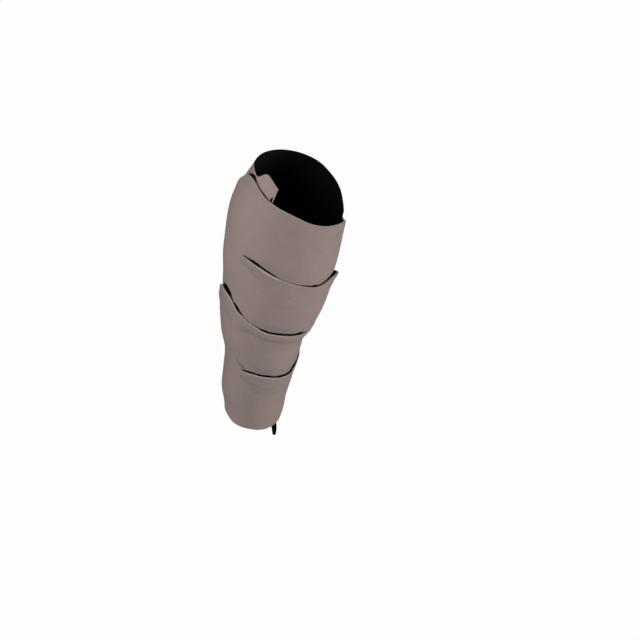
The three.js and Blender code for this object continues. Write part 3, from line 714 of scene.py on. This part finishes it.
def hookTape(name, look):
    # Black nylon hook tape: a stiff woven ground with rows of small hooks, a dull plastic glint on top
    material, tree = newMaterial(name)
    place = addNode(tree, "ShaderNodeTexCoord", {})
    hooks = addNode(tree, "ShaderNodeTexVoronoi", {
        "Vector": place.outputs["UV"], "Scale": 1 / (look["hooks"] * mm), "Randomness": 0.2},
        voronoi_dimensions="2D")
    colour = addNode(tree, "ShaderNodeMix", {
        0: hooks.outputs["Distance"], 6: linear(look["pale"]), 7: linear(look["dark"])}, data_type="RGBA")
    bump = addNode(tree, "ShaderNodeBump", {
        "Height": hooks.outputs["Distance"], "Distance": look["depth"] * mm, "Strength": 0.9}, invert=True)
    shader = addNode(tree, "ShaderNodeBsdfPrincipled", {
        "Base Color": colour.outputs[2], "Normal": bump.outputs[0], "Roughness": 0.55, "IOR": 1.53})
    addNode(tree, "ShaderNodeOutputMaterial", {"Surface": shader.outputs[0]})
    return material


tape = hookTape("black_nylon_hook_tape", {"dark": "#0F0D10", "pale": "#2A272C", "hooks": 1.5, "depth": 0.3})


def padObject(name, pad):
    width = math.radians(pad["to"] - pad["from"]) * cloth["unrolled"]
    edge = cloth["edge"]
    angles = steps(pad["from"] + endInset, pad["to"] - endInset, round(width / cloth["cell"]))
    heights = steps(pad["low"] + edge, pad["high"] - edge, round((pad["high"] - pad["low"]) / cloth["cell"]))
    angle, z = np.meshgrid(angles, heights, indexing="ij")
    corners = cornerRow(angle, z, layers["panel"] + layers["gap"], layers["pad"], np.full(z.shape, edge))
    return sheetObject(name, [corners], [np.arange(z.size).reshape(z.shape)], [tape, tape, tape])


padObjects = [padObject(f"hook_pad_{i + 1}_tape", pad) for i, pad in enumerate(hookPads)]
print("hook pads:", len(padObjects))

# Stitches: two rows along the seam at the back left, and one row round each hook pad

thread = {
    "stitch": 2.6, "thick": 0.55, "pitch": 3.4, "sunk": 0.05, "rows": (2.6, 5.4), "clear": 3, "padInset": 1.5,
    "linePoints": {"seam": 30, "across": 12, "along": 24},
    "dark": "#6A5D59", "pale": "#85776F", "twist": 0.5, "twistDepth": 0.06}


def spunThread(name, look):
    # Spun polyester sewing thread: a dull round cord with a fine twist, a shade darker than the nap round it
    material, tree = newMaterial(name)
    place = addNode(tree, "ShaderNodeTexCoord", {})
    strands = addNode(tree, "ShaderNodeTexWave", {
        "Vector": place.outputs["Object"], "Scale": waveScale(look["twist"]), "Distortion": 1.5,
        "Detail": 1.0}, bands_direction="DIAGONAL")
    colour = addNode(tree, "ShaderNodeMix", {
        0: strands.outputs["Fac"], 6: linear(look["dark"]), 7: linear(look["pale"])}, data_type="RGBA")
    bump = addNode(tree, "ShaderNodeBump", {
        "Height": strands.outputs["Fac"], "Distance": look["twistDepth"] * mm, "Strength": 0.6})
    shader = addNode(tree, "ShaderNodeBsdfPrincipled", {
        "Base Color": colour.outputs[2], "Normal": bump.outputs[0], "Roughness": 0.7, "IOR": 1.54,
        "Specular IOR Level": 0.3, "Sheen Weight": 0.05})
    addNode(tree, "ShaderNodeOutputMaterial", {"Surface": shader.outputs[0]})
    return material


sewing = spunThread("spun_polyester_thread", thread)


def stitchTree():
    tree = bpy.data.node_groups.new("stitches_along_lines", "GeometryNodeTree")
    tree.interface.new_socket("Geometry", in_out="INPUT", socket_type="NodeSocketGeometry")
    sizes = {"Stitch Length": "stitch", "Thread Thickness": "thick", "Pitch": "pitch"}
    for name, key in sizes.items():
        socket = tree.interface.new_socket(name, in_out="INPUT", socket_type="NodeSocketFloat")
        socket.default_value = thread[key] * mm
    tree.interface.new_socket("Geometry", in_out="OUTPUT", socket_type="NodeSocketGeometry")
    given = tree.nodes.new("NodeGroupInput")
    lines = addNode(tree, "GeometryNodeMeshToCurve", {"Mesh": given.outputs["Geometry"]})
    spots = addNode(tree, "GeometryNodeCurveToPoints", {
        "Curve": lines.outputs["Curve"], "Length": given.outputs["Pitch"]}, mode="LENGTH")
    ball = addNode(tree, "GeometryNodeMeshUVSphere", {"Segments": 8, "Rings": 6, "Radius": 0.5})
    thickness, length = given.outputs["Thread Thickness"], given.outputs["Stitch Length"]
    size = addNode(tree, "ShaderNodeCombineXYZ", {0: thickness, 1: thickness, 2: length})
    sewn = addNode(tree, "GeometryNodeInstanceOnPoints", {
        "Points": spots.outputs["Points"], "Instance": ball.outputs["Mesh"],
        "Rotation": spots.outputs["Rotation"], "Scale": size.outputs[0]})
    real = addNode(tree, "GeometryNodeRealizeInstances", {"Geometry": sewn.outputs["Instances"]})
    smooth = addNode(tree, "GeometryNodeSetShadeSmooth", {"Geometry": real.outputs["Geometry"]})
    done = addNode(tree, "GeometryNodeSetMaterial", {
        "Geometry": smooth.outputs["Geometry"], "Material": sewing})
    addNode(tree, "NodeGroupOutput", {"Geometry": done.outputs["Geometry"]})
    return tree


stitchNodes = stitchTree()


def stitchesObject(name, topIndex):
    # lines on the outer face of a wrap's two bands, as edges, and stitches laid along them
    points, edges = [], []

    def addLine(band, angles, heights):
        angles, heights = np.broadcast_arrays(np.asarray(angles, float), np.asarray(heights, float))
        out = bandOffset(band, angles, heights) + layers["band"] + thread["sunk"]
        edges.extend((len(points) + i, len(points) + i + 1) for i in range(len(angles) - 1))
        points.extend(formPoint(angles, heights, out).tolist())

    perMm = math.degrees(1 / cloth["unrolled"])
    count = thread["linePoints"]
    top, bottom = bands[topIndex], bands[topIndex + 1]
    for row in thread["rows"]:
        angle = slits["seam"] + row * perMm
        at = np.array([angle])
        high = upperEdge(top, at)["z"][0] - thread["clear"]
        joint = float(top["below"]["line"](top["below"]["blindEnd"])["z"])
        low = lowerEdge(bottom, at)["z"][0] + thread["clear"]
        addLine(top, angle, np.linspace(high, joint, count["seam"]))
        addLine(bottom, angle, np.linspace(joint, low, count["seam"]))
    for index in (topIndex, topIndex + 1):
        pad, inset = hookPads[index], thread["padInset"]
        left, right = pad["from"] + inset * perMm, pad["to"] - inset * perMm
        low, high = pad["low"] + inset, pad["high"] - inset
        addLine(bands[index], np.linspace(left, right, count["across"]), low)
        addLine(bands[index], right, np.linspace(low, high, count["along"]))
        addLine(bands[index], np.linspace(right, left, count["across"]), high)
        addLine(bands[index], left, np.linspace(high, low, count["along"]))
    mesh = bpy.data.meshes.new(name)
    mesh.from_pydata(points, edges, [])
    lines = bpy.data.objects.new(name + "_lines", mesh)
    bpy.context.collection.objects.link(lines)
    modifier = lines.modifiers.new("stitches", "NODES")
    modifier.node_group = stitchNodes
    for socket in stitchNodes.interface.items_tree:
        if socket.in_out == "INPUT" and socket.socket_type == "NodeSocketFloat":
            modifier[socket.identifier] = socket.default_value
    seen = lines.evaluated_get(bpy.context.evaluated_depsgraph_get())
    sewn = bpy.data.meshes.new_from_object(seen)
    sewn.materials.clear()
    sewn.materials.append(sewing)
    made = bpy.data.objects.new(name, sewn)
    bpy.context.collection.objects.link(made)
    bpy.data.objects.remove(lines)
    return made


upperStitches = stitchesObject("upper_wrap_stitches", 0)
lowerStitches = stitchesObject("lower_wrap_stitches", 2)
print("stitches:", [len(o.data.polygons) for o in (upperStitches, lowerStitches)], "faces")

# What each piece stands for

pieces = [
    (backPanel, "back_panel", "panel_laminate"),
    (upperWrap, "upper_wrap", "band_laminate"),
    (lowerWrap, "lower_wrap", "band_laminate"),
    *[(pad, f"hook_pad_{i + 1}", "hook_tape") for i, pad in enumerate(padObjects)],
]
for piece, node, slot in pieces:
    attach(piece, "root")
    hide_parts(node)
for piece in (upperStitches, lowerStitches):
    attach(piece, "root")

# Floor, light and camera

studio = {
    "floorDrop": 600, "floorSize": 60000, "floor": "#B4B2B0", "ground": "#FDFDFD", "world": "#FFFFFF",
    "worldStrength": 0.1, "aimHeight": 150,
    "softboxes": [
        {"name": "front_softbox", "azimuth": -10, "far": 850, "high": 250, "size": 420, "power": 5.1},
        {"name": "right_softbox", "azimuth": 90, "far": 850, "high": 250, "size": 420, "power": 6.6},
        {"name": "left_softbox", "azimuth": -90, "far": 850, "high": 250, "size": 420, "power": 1.8},
        {"name": "high_left_softbox", "azimuth": -60, "far": 600, "high": 850, "size": 420, "power": 2.5},
        {"name": "back_softbox", "azimuth": 180, "far": 850, "high": 250, "size": 420, "power": 4.5},
    ],
}
view = {"elevation": 28, "roll": 11.5, "distance": 2400, "mmPerPixel": 1.12, "originPixel": (251, 416),
        "image": 640, "sensor": 36}


def addFloor():
    # white to the camera, and a dimmer grey to the cloth above it
    material, tree = newMaterial("pale_floor")
    path = addNode(tree, "ShaderNodeLightPath", {})
    grey = addNode(tree, "ShaderNodeBsdfDiffuse", {"Color": linear(studio["floor"])})
    white = addNode(tree, "ShaderNodeEmission", {"Color": linear(studio["ground"]), "Strength": 1.0})
    shader = addNode(tree, "ShaderNodeMixShader", {
        0: path.outputs["Is Camera Ray"], 1: grey.outputs[0], 2: white.outputs[0]})
    addNode(tree, "ShaderNodeOutputMaterial", {"Surface": shader.outputs[0]})
    half, drop = studio["floorSize"] * mm / 2, -studio["floorDrop"] * mm
    mesh = bpy.data.meshes.new("floor")
    corners = [(-half, -half, drop), (half, -half, drop), (half, half, drop), (-half, half, drop)]
    mesh.from_pydata(corners, [], [(0, 1, 2, 3)])
    mesh.materials.append(material)
    floor = bpy.data.objects.new("floor", mesh)
    bpy.context.collection.objects.link(floor)


def addLight():
    world = bpy.data.worlds.new("studio")
    world.use_nodes = True
    tree = world.node_tree
    tree.nodes.clear()
    path = addNode(tree, "ShaderNodeLightPath", {})
    dim = addNode(tree, "ShaderNodeBackground", {
        "Color": linear(studio["world"]), "Strength": studio["worldStrength"]})
    white = addNode(tree, "ShaderNodeBackground", {"Color": linear(studio["ground"]), "Strength": 1.0})
    sky = addNode(tree, "ShaderNodeMixShader", {
        0: path.outputs["Is Camera Ray"], 1: dim.outputs[0], 2: white.outputs[0]})
    addNode(tree, "ShaderNodeOutputWorld", {"Surface": sky.outputs[0]})
    bpy.context.scene.world = world
    aim = Vector((0, 0, studio["aimHeight"])) * mm
    for box in studio["softboxes"]:
        light = bpy.data.lights.new(box["name"], "AREA")
        light.energy = box["power"]
        light.size = box["size"] * mm
        lamp = bpy.data.objects.new(box["name"], light)
        bpy.context.collection.objects.link(lamp)
        a = math.radians(box["azimuth"])
        lamp.location = Vector((math.sin(a) * box["far"], -math.cos(a) * box["far"], box["high"])) * mm
        lamp.rotation_mode = "QUATERNION"
        lamp.rotation_quaternion = (lamp.location - aim).to_track_quat("Z", "Y")
        lamp.visible_camera = False


def addCamera():
    e, r = math.radians(view["elevation"]), math.radians(view["roll"])
    back = Vector((0, -math.cos(e), math.sin(e)))
    level, upright = Vector((1, 0, 0)), Vector((0, math.sin(e), math.cos(e)))
    right = level * math.cos(r) + upright * math.sin(r)
    up = upright * math.cos(r) - level * math.sin(r)
    x = (view["originPixel"][0] - view["image"] / 2) * view["mmPerPixel"]
    y = (view["image"] / 2 - view["originPixel"][1]) * view["mmPerPixel"]
    camera = bpy.data.cameras.new("camera")
    camera.sensor_width = view["sensor"]
    camera.lens = camera.sensor_width * view["distance"] / (view["mmPerPixel"] * view["image"])
    eye = bpy.data.objects.new("camera", camera)
    bpy.context.collection.objects.link(eye)
    turn = Matrix((right, up, back)).transposed().to_4x4()
    eye.matrix_world = Matrix.Translation((back * view["distance"] - right * x - up * y) * mm) @ turn
    bpy.context.scene.camera = eye


addFloor()
addLight()
addCamera()
bpy.context.scene.view_settings.view_transform = "Standard"
print("studio: floor, light and camera")
